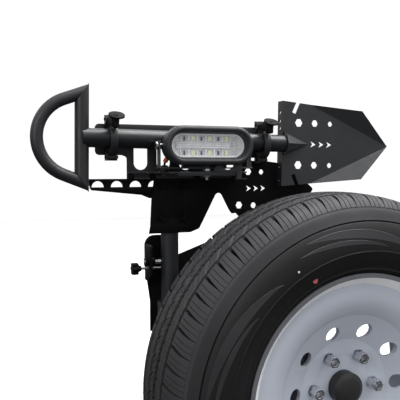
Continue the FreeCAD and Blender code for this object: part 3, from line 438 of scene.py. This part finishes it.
# half section from the crown outwards: radius, y from the centre plane, zone
SECTION = [
    (400.0, 0.0, "rib"), (399.95, 6.0, "rib"), (399.9, 12.2, "rib_edge"), (391.4, 13.0, "groove"),
    (391.2, 21.0, "groove"), (399.5, 21.8, "rib_edge"), (399.3, 28.0, "rib"), (398.9, 36.0, "rib"),
    (398.4, 42.0, "rib"), (398.1, 46.8, "rib_edge"), (389.6, 47.6, "groove"), (389.4, 55.0, "groove"),
    (397.4, 55.8, "block_edge"), (396.6, 62.0, "block"), (395.4, 69.0, "block"), (393.6, 76.5, "block"),
    (391.0, 84.0, "block"), (387.2, 91.0, "block"), (382.2, 97.5, "block"), (376.6, 102.8, "block_end"),
    (374.8, 104.2, "block_end"), (374.0, 103.6, "fade"), (368.6, 107.2, "fade"), (361.0, 111.0, "wall"),
    (355.5, 113.4, "wall"), (350.8, 115.6, "wall"), (349.6, 116.2, "wall"), (348.4, 114.6, "line"),
    (346.8, 115.2, "line"), (345.8, 118.2, "wall"), (344.0, 119.0, "wall"), (336.0, 121.8, "wall"),
    (327.0, 124.4, "wall"), (318.0, 126.6, "wall"), (309.0, 128.0, "wall"), (300.0, 128.6, "wall"),
    (293.5, 128.3, "wall"), (291.6, 128.2, "wall"), (290.9, 129.0, "ring"), (289.7, 129.0, "ring"),
    (289.0, 127.9, "wall"), (282.0, 126.0, "wall"), (273.0, 122.6, "wall"), (265.0, 119.0, "wall"),
    (259.0, 115.6, "wall"), (256.4, 115.2, "lip"), (254.6, 115.6, "lip"), (252.6, 113.2, "lip"),
    (249.4, 110.8, "lip"), (247.4, 109.4, "lip"), (247.3, 97.0, "inside"), (230.0, 96.4, "inside"),
    (230.0, 82.0, "inside"), (262.0, 95.0, "inside"), (310.0, 110.0, "inside"), (352.0, 95.0, "inside"),
    (378.0, 70.0, "inside"), (379.0, 0.0, "inside"),
]
GROOVE_PHASE = 0.688


def groove_scale(y):
    """Width of the wide shoulder groove: widest beside the main groove, a hairline at the edge."""
    reach = min(1.0, max(0.0, (abs(y) - 72.0) / 30.0))
    return 1.0 - 0.8 * reach


def slant(y):
    """How far round, in pitches, the tread pattern leans at each y."""
    a = abs(y)
    if a > 55:
        lean = 0.0054 * (a - 55)
    elif a > 47:
        lean = 0.0
    elif a > 21:
        lean = 0.55 - 0.030 * (47 - a)
    else:
        lean = -0.5 + 0.03 * (21 - a)
    return GROOVE_PHASE + (lean + 0.4 if y >= 0 else -lean)


def tread_cut(fraction, zone, y):
    """Depth of the tread's grooves and sipes at a column of the pitch, in millimetres."""
    wide = WIDE_CUT[0] <= fraction <= WIDE_CUT[1]
    sipe = any(low <= fraction <= high for low, high in SIPES)
    if zone == "block":
        fade = 1.0 - 0.6 * min(1.0, max(0.0, (abs(y) - 75.0) / 24.0))
        return 7.0 * fade if wide else 3.2 * fade if sipe else 0.0
    if zone == "block_edge":
        return 7.4 if wide else 0.0
    if zone == "block_end":
        return 2.0 if wide else 1.6 if sipe else 0.0
    tick = RIB_TICK[0] <= fraction <= RIB_TICK[1]
    if zone == "rib_edge":
        return 4.2 if wide else 3.5 if sipe or tick else 0.0
    if zone == "rib":
        return 3.6 if sipe else 2.8 if wide and abs(y) > 21 else 3.5 if tick and abs(y) > 21 else 0.0
    return 0.0


def shown_place(fraction, zone, y):
    """Where a column of the pitch sits at each y, as grooves narrow and rib sipes widen."""
    if fraction <= GROOVE_END:
        shoulder = zone in ("block", "block_edge", "block_end", "fade")
        return WIDE_MIDDLE + (fraction - WIDE_MIDDLE) * (groove_scale(y) if shoulder else RIB_CUT_SCALE)
    if zone in ("rib", "rib_edge"):
        for low, high in SIPES:
            middle = (low + high) / 2
            if abs(fraction - middle) < 0.03:
                return middle + 2.0 * (fraction - middle)
    return fraction


def make_tyre():
    """The section carried round, with its tread cut in; grooves and deep cuts are drawn near black as
    painted shade.
    """
    rows = [(r, -y, zone) for r, y, zone in SECTION[::-1] if y > 0] + SECTION
    # start at the inner liner's middle so that the section closes once
    liner = rows.pop()
    rows.insert(0, (liner[0], 0.0, "inside"))
    count = len(rows)
    profile = np.array([(r, y) for r, y, _ in rows])
    tangent = np.roll(profile, -1, axis=0) - np.roll(profile, 1, axis=0)
    tangent /= np.linalg.norm(tangent, axis=1)[:, None]
    normal = np.stack([tangent[:, 1], -tangent[:, 0]], axis=1)
    points, deep = [], []
    for index, (radius, y, zone) in enumerate(rows):
        lean = slant(y)
        tread = zone in ("rib", "rib_edge", "groove", "block", "block_edge")
        out = np.array([1.0, 0.0]) if tread else normal[index]
        if out @ np.array([radius - 320.0, y]) < 0:
            out = -out
        for pitch in range(PITCHES):
            for fraction in COLUMNS:
                angle = 2 * math.pi * (pitch + shown_place(fraction, zone, y) + lean) / PITCHES
                depth = tread_cut(fraction, zone, y)
                # cuts deeper than the limit, the grooves and the sidewall's line are marked for painted
                # shade
                cut = depth > (SHALLOW if fraction < GROOVE_END else SHADE_DEPTH)
                deep.append(cut or zone in ("groove", "line"))
                r, offset = radius - out[0] * depth, y - out[1] * depth
                points.append((WHEEL[0] + r * math.sin(angle), WHEEL[1] + offset,
                               WHEEL[2] + r * math.cos(angle)))
    columns = PITCHES * len(COLUMNS)
    faces = grid_faces(count, columns, close_rows=True)
    zones = [zone for _, _, zone in rows]
    face_finish = []
    for face in faces:
        surface = 0 if zones[face[0] // columns] in TREAD_ZONES else 1
        # faces whose corners are all marked take the painted groove shade
        face_finish.append(2 if all(deep[corner] for corner in face) else surface)
    finishes = [TYRE, SIDEWALL, GROOVE_PAINTED_SHADE]
    tyre = make_object("tyre_treaded", points, faces, finishes, face_finish, smooth_angle=32)
    stands_for(tyre, "carrier", "tyre_rubber", "tyre")


def on_sidewall(radius, angle_deg, y):
    angle = math.radians(angle_deg)
    return Vector((WHEEL[0] + radius * math.cos(angle), WHEEL[1] + y, WHEEL[2] + radius * math.sin(angle)))


def wall_y(radius):
    """How far the front sidewall stands forward of the wheel's centre plane at a radius."""
    wall = sorted((r, y) for r, y, zone in SECTION if zone == "wall")
    return -float(np.interp(radius, [r for r, _ in wall], [y for _, y in wall]))


def make_sidewall_relief():
    """Long low crescents moulded on the sidewall, in pairs all the way round."""
    points, faces = [], []
    steps = 40
    for group in range(6):
        for start, span, low, high, broad in ((8, 46, 303, 337, 17.0), (22, 36, 299, 322, 9.0)):
            base = len(points)
            for step in range(steps + 1):
                t = step / steps
                radius = low + (high - low) * t ** 0.7
                half = 0.4 + broad * math.sin(math.pi * t) ** 0.8 / 2
                angle = 60 * group + start + span * t
                for r, lift in ((radius - half, 0.12), (radius - half + 0.5, -0.43),
                                (radius + half - 0.5, -0.43), (radius + half, 0.12)):
                    points.append(on_sidewall(r, angle, wall_y(r) + lift))
            faces += [tuple(base + i for i in (4 * k + c, 4 * k + c + 1, 4 * k + c + 5, 4 * k + c + 4))
                      for k in range(steps) for c in range(3)]
    relief = make_object("sidewall_relief", points, faces, RUBBER_RELIEF)
    stands_for(relief, "carrier", "tyre_rubber")


def make_sidewall_marks():
    """The two small paint dots that a tyre gets when it is balanced."""
    for name, radius, angle, size, finish in (("mark_red", 267.8, 116.0, 5.2, MARK_RED),
                                              ("mark_white", 304.0, 121.0, 2.2, MARK_WHITE)):
        spot = on_sidewall(radius, angle, wall_y(radius) - 0.2)
        profile = [(size * 0.5, -0.5), (size, -0.2), (size, 0.5), (size * 0.85, 0.75),
                   (size * 0.4, 0.8)]
        stands_for(lathe(name, profile, spot, "Y", finish, steps=24), "carrier", "tyre_rubber")


make_tyre()
make_sidewall_relief()
make_sidewall_marks()


# ------------------------------------------------------------------ lamp

LAMP_U = LENS[0]
LAMP_V = LENS[2]
HALF_TALL = (LENS_HIGH[2] - LENS_LOW[2]) / 2
HALF_RUN = (LENS_HIGH[0] - LENS_LOW[0]) / 2 - HALF_TALL
BEZEL_HALF = (BEZEL_HIGH[2] - BEZEL_LOW[2]) / 2
BEZEL_RUN = (BEZEL_HIGH[0] - BEZEL_LOW[0]) / 2 - BEZEL_HALF
BOARD_Y = LENS_HIGH[1] + 5.4
CUP_PITCH = 18.2
FIRST_CUP = -50.5
ROW_HEIGHT = 14.2
PRISM_START = 50.0
PRISM_TALL = 2.2


def make_bezel():
    """Rounded rubber surround that slopes in to the lens."""
    front, back = BEZEL_LOW[1], BEZEL_HIGH[1]
    inner = BEZEL_HALF - HALF_TALL - 0.15
    profile = [(0.0, back), (0.0, front + 8.0), (0.5, front + 5.2), (1.8, front + 2.8),
               (3.8, front + 1.0), (6.2, front), (8.6, front + 0.2), (10.4, front + 1.2),
               (11.6, front + 2.8), (12.6, front + 6.5), (inner, front + 13.0), (inner, back)]
    bezel = stadium_sweep("lamp_bezel", BEZEL_RUN, BEZEL_HALF, profile, LENS, BEZEL_RUBBER, steps=32)
    stands_for(bezel, "light", "black_rubber", "light_bezel")


def make_lamp_board():
    """Reflector board: a white rim, two rows of cups, a light bar and fine prisms at the right."""
    radius = HALF_TALL - 0.15
    board = stadium_sweep("lamp_board", HALF_RUN, radius, [(0, BOARD_Y + 1.3), (0, BOARD_Y), (0.3, BOARD_Y)],
                          LENS, LAMP_SILVER, closed=False, steps=24)
    stands_for(board, "light", "reflector_chrome", "light_reflector")
    rim_profile = [(0.1, BOARD_Y), (0.1, LENS_HIGH[1] + 0.4), (2.6, LENS_HIGH[1] + 0.4),
                   (3.4, LENS_HIGH[1] + 2.2), (3.4, BOARD_Y)]
    rim = stadium_sweep("lamp_rim", HALF_RUN, radius, rim_profile, LENS, LAMP_WHITE, steps=24)
    stands_for(rim, "light", "reflector_chrome")
    walls, chips, darks, facets = [], [], [], []
    for row in (-1, 1):
        for column in range(6):
            u = LAMP_U + FIRST_CUP + CUP_PITCH * column
            v = LAMP_V + row * ROW_HEIGHT
            amber = column % 2 == 1
            for du, dv, w, h in ((-8.6, 0, 0.8, 7.2), (8.6, 0, 0.8, 7.2), (0, 7.0 * row, 8.9, 0.7)):
                low, high = (u + du - w, BOARD_Y - 3.8, v + dv - h), (u + du + w, BOARD_Y, v + dv + h)
                walls.append((low, high, 0.35))
            for a in range(4):
                for b in range(3):
                    low = (u - 7.6 + a * 3.9, BOARD_Y - 1.9, v - 6.2 + b * 4.1)
                    facets.append((low, (low[0] + 3.5, BOARD_Y, low[2] + 3.7), 1.2))
            chip = ((u - 4.4, BOARD_Y - 2.8, v - 5.0), (u + 4.4, BOARD_Y, v + 5.0), 0.9)
            spot = ((u - 2.2, BOARD_Y - 2.9, v - 4.6), (u + 2.2, BOARD_Y, v + 3.8), 0.5)
            (chips if amber else darks).append(chip if amber else spot)
    for name, blocks, finish in (("lamp_cup_walls", walls, LAMP_WHITE),
                                 ("lamp_cup_facets", facets, LAMP_SILVER),
                                 ("lamp_amber_chips", chips, LAMP_AMBER),
                                 ("lamp_dark_chips", darks, LAMP_DARK)):
        stands_for(join_boxes(name, blocks, finish, bevel=0.2), "light", "reflector_chrome")
    bar = [((LAMP_U - 69, BOARD_Y - 4.0, LAMP_V - 7.4), (LAMP_U + 49, BOARD_Y, LAMP_V + 7.4), 1.0)]
    for v in (LAMP_V - 4.6, LAMP_V, LAMP_V + 4.6):
        bar.append(((LAMP_U - 66, BOARD_Y - 4.8, v - 1.5), (LAMP_U + 47, BOARD_Y - 3.9, v + 1.5), 0.6))
    stands_for(join_boxes("lamp_bar", bar, LAMP_SILVER), "light", "reflector_chrome")
    make_prisms()


def make_prisms():
    """Concentric fine ridges around the lamp's right end, broken into short prisms."""
    start = LAMP_U + PRISM_START
    bed = [((start, BOARD_Y - 1.4, LAMP_V - 19), (LAMP_U + 66, BOARD_Y, LAMP_V + 19), 0.1)]
    stands_for(join_boxes("lamp_prism_bed", bed, LAMP_GREY, bevel=0), "light", "reflector_chrome")
    points, faces = [], []
    centre_u, centre_v = start + 3.0, LAMP_V
    for ring in range(6):
        radius = 3.5 + ring * 3.1
        count = 10 + ring * 6
        for step in range(count):
            middle = 2 * math.pi * step / count
            half = math.pi / count * 0.62
            corners = []
            for r, a in ((radius - 0.9, middle - half), (radius - 0.9, middle + half),
                         (radius + 0.9, middle + half), (radius + 0.9, middle - half)):
                corners.append((centre_u + r * math.cos(a), centre_v + r * math.sin(a)))
            left = min(u for u, _ in corners)
            if left < start - (1.5 if abs(math.sin(middle)) > 0.5 else 0):
                continue
            base = len(points)
            mean_u = sum(u for u, _ in corners) / 4
            mean_v = sum(v for _, v in corners) / 4
            for y, shrink in ((BOARD_Y, 1.0), (BOARD_Y - PRISM_TALL, 0.9)):
                for u, v in corners:
                    points.append((mean_u + (u - mean_u) * shrink, y, mean_v + (v - mean_v) * shrink))
            faces += [tuple(base + i for i in face) for face in BLOCK_FACES]
    prisms = make_object("lamp_prisms", points, faces, LAMP_WHITE, smooth_angle=20)
    stands_for(prisms, "light", "reflector_chrome")


def make_lens():
    """A thin clear cover with a rounded rim."""
    radius = HALF_TALL - 0.05
    front, back = LENS_LOW[1], LENS_HIGH[1]
    profile = [(0, back), (0, front + 1.0), (0.35, front + 0.35), (1.2, front), (radius * 0.55, front)]
    lens = stadium_sweep("lamp_lens", HALF_RUN, radius, profile, LENS, CLEAR, closed=False, steps=28)
    stands_for(lens, "light", "clear_lens", "light_lens")


make_bezel()
make_lamp_board()
make_lens()


# ------------------------------------------------------------------ small turned parts

def threaded_rod(name, node, axis, pitch, body, slot_name, finish):
    """A rod with rolled thread ridges along its whole length."""
    low, high = box_mm(node)
    index = "XYZ".index(axis)
    length = high[index] - low[index]
    across = [i for i in range(3) if i != index]
    radius = (high[across[0]] - low[across[0]]) / 2
    origin = (low + high) / 2
    origin[index] = low[index]
    profile = [(radius * 0.7, 0.0), (radius * 0.86, 0.35)]
    turns = int((length - 1.0) / pitch)
    for turn in range(turns):
        start = 0.5 + turn * pitch
        profile += [(radius - 0.55, start), (radius, start + pitch * 0.42), (radius, start + pitch * 0.58)]
    profile += [(radius * 0.86, length - 0.35), (radius * 0.7, length)]
    made = lathe(name, profile, origin, axis, finish, steps=28, smooth_angle=50)
    return stands_for(made, body, slot_name, node)


def make_gland():
    """Cable gland: a hexagonal nut under the shelf, a ribbed cap and a domed seal."""
    low, high = box_mm("lead_gland")
    centre = (low + high) / 2

    def hexed(angle, row):
        if 7 <= row <= 10:
            return 1.0 - 0.045 * (0.5 + 0.5 * math.cos(18 * angle))
        if 2 <= row <= 4:
            return math.cos(math.pi / 6) / math.cos((angle + math.pi / 6) % (math.pi / 3) - math.pi / 6)
        return 1.0

    profile = [(6.0, 0.0), (7.0, 1.6), (9.3, 1.7), (9.6, 2.6), (9.3, 6.6), (7.0, 6.9), (7.0, 10.0),
               (9.0, 10.2), (9.4, 11.4), (9.4, 18.4), (8.9, 19.6), (8.0, 21.4), (6.4, 23.0), (3.0, 24.0)]
    origin = (centre[0], centre[1], low[2])
    gland = lathe("ribbed_gland", profile, origin, "Z", PLASTIC, steps=108, shape=hexed)
    stands_for(gland, "rack", "black_plastic", "lead_gland")


threaded_rod("set_screw_threaded", "post_set_screw", "X", 1.5, "carrier", "zinc_plated_steel", ZINC)
threaded_rod("light_bolt_threaded", "light_bolt", "Z", 1.25, "rack", "zinc_plated_steel", ZINC)
threaded_rod("knob_stud_threaded", "knob_stud", "X", 1.0, "knob", "zinc_plated_steel", ZINC)
make_gland()


# ------------------------------------------------------------------ finishes of the CAD nodes

CAD_FINISHES = {
    POWDER: ("hitch_shank upright shank_gussets cross_arm post_sleeve stud_flange wheel_standoff post "
             "back_plate shelf left_clamp_bracket right_clamp_bracket light_bracket light_support"),
    # these parts take the darker copy of the powder coat, with shade painted into it
    POWDER_SHADED: ("arm_plate lower_plate side_arm rack_bolts post_u_bolts u_bolt_nuts star_knob set_screw_nuts "
           "clamp_catch_bars left_lever_pin right_lever_pin clamp_hinge_pins"),
    CHARCOAL: "shovel_blade",
    SOCKET: "blade_socket",
    GLOSS: "shovel_shaft",
    BOW: "handle_bow handle_grip left_clamp_strap right_clamp_strap",
    ZINC: "wheel_studs lug_nuts light_nuts light_pivot_bolts",
    PLASTIC: "upright_cap post_foot_plug centre_cap valve_cap light_housing",
    LEVER: "left_clamp_lever right_clamp_lever",
    RUBBER: "left_clamp_cradle right_clamp_cradle left_strap_liner right_strap_liner light_lead valve_stem",
    ORANGE: "lead_sleeve",
    WHEEL_FACE: "rim",
}
# edge rounding in millimetres, where it is not the usual one
USUAL_BEVEL = 0.5
BEVELS = {"star_knob": 0.8, "left_clamp_lever": 0.7, "right_clamp_lever": 0.7,
          "left_clamp_strap": 0.6, "right_clamp_strap": 0.6, "upright": 1.6, "cross_arm": 1.6,
          "hitch_shank": 1.6, "light_housing": 2.0}
NO_BEVEL = {"light_lead", "lead_sleeve", "valve_stem", "valve_cap", "post_u_bolts", "left_strap_liner",
            "right_strap_liner", "shovel_shaft", "handle_bow", "handle_grip", "post", "shovel_blade",
            "blade_socket", "rim"}
# sheets with shallow folds stay crisp at smaller angles, in degrees
FOLDED = {"shovel_blade": 3, "blade_socket": 12}
# the wheel's front lip: its bright band (painted highlight) and its darker edge (painted shade) start at
# these radii
FRONT_FROM, BAND_FROM, EDGE_FROM = 90, 221, 237


def finish_cad_nodes():
    for finish, names in CAD_FINISHES.items():
        for name in names.split():
            item = nodes[name]
            item.data.materials.clear()
            item.data.materials.append(finish.material)
            item.data.polygons.foreach_set("use_smooth", [True] * len(item.data.polygons))
            item.data.set_sharp_from_angle(angle=math.radians(FOLDED.get(name, 30)))
            if name not in NO_BEVEL:
                add_bevel(item, BEVELS.get(name, USUAL_BEVEL))


def finish_rim():
    """A sloped band made near white as painted highlight, between the flange, darkened as painted shade, and
    the silver-painted dish.
    """
    item = nodes["rim"]
    item.data.materials.append(WHEEL_LIP_HIGHLIGHT.material)
    item.data.materials.append(WHEEL_EDGE_SHADE.material)
    place = item.matrix_world
    for polygon in item.data.polygons:
        middle = (place @ polygon.center) / MM
        radius = math.hypot(middle[0] - WHEEL[0], middle[2] - WHEEL[2])
        if middle[1] < WHEEL[1] - FRONT_FROM and radius > BAND_FROM:
            # band faces take the painted highlight, edge faces the painted shade
            polygon.material_index = 2 if radius > EDGE_FROM else 1


finish_cad_nodes()
finish_rim()
